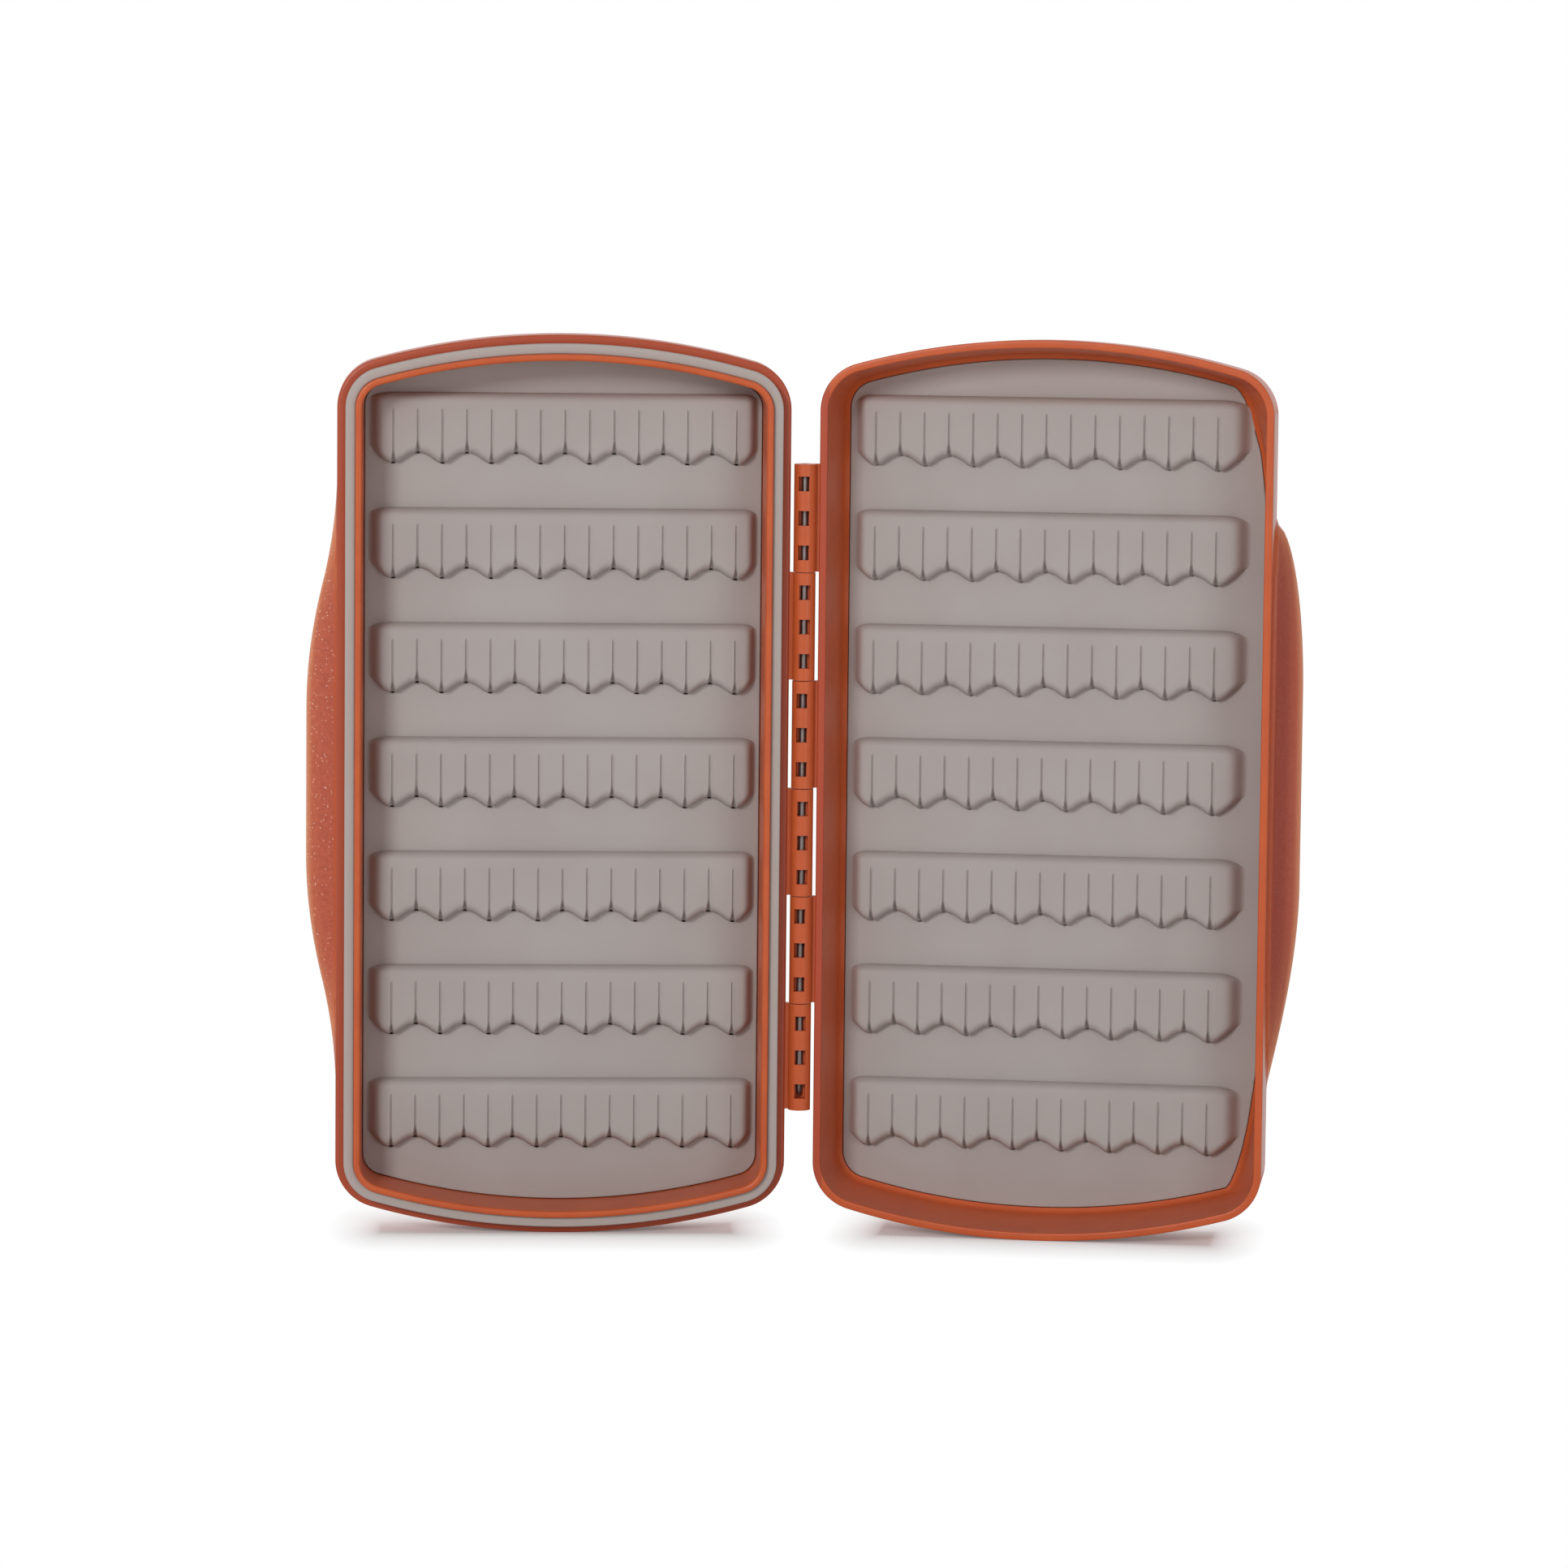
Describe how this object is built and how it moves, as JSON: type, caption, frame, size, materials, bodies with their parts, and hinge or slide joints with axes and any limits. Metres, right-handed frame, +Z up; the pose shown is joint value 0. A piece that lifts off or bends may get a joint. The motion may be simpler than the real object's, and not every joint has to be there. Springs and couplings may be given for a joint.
{
  "type": "fly box",
  "caption": "Two-part fly box standing open on its long pin hinge, with slit mats in both halves, a sealing band around the base and side grips.",
  "frame": {"origin": "middle of the footprint on the floor, box standing open on its arched ends", "axes": "+Z up along the hinge pin, the open trays face -Y, the base is on the -X side and the lid on the +X side"},
  "size_m": [0.2032, 0.034, 0.184],
  "materials": {
    "shell": "satin orange moulding with a finely grained grip",
    "frame": "satin orange moulding",
    "gasket": "dull pale grey seal",
    "mat": "dull warm grey mat",
    "film": "clear film seen edge on",
    "pin": "bright drawn wire"
  },
  "bodies": {
    "base": {"base_shell": "shell", "seal_frame": "frame", "gasket": "gasket", "base_mat": "mat", "base_mat_adhesive": "film", "hinge_pin": "pin"},
    "lid": {"lid_shell": "shell", "lid_mat": "mat", "lid_mat_adhesive": "film"}
  },
  "joints": [
    {"name": "lid_hinge", "type": "hinge", "parent": "base", "child": "lid", "pos_m": [-0.00045, 0.00021, 0.092], "axis": [0, 0, -1], "range_deg": [-10.5, 169.5]}
  ]
}
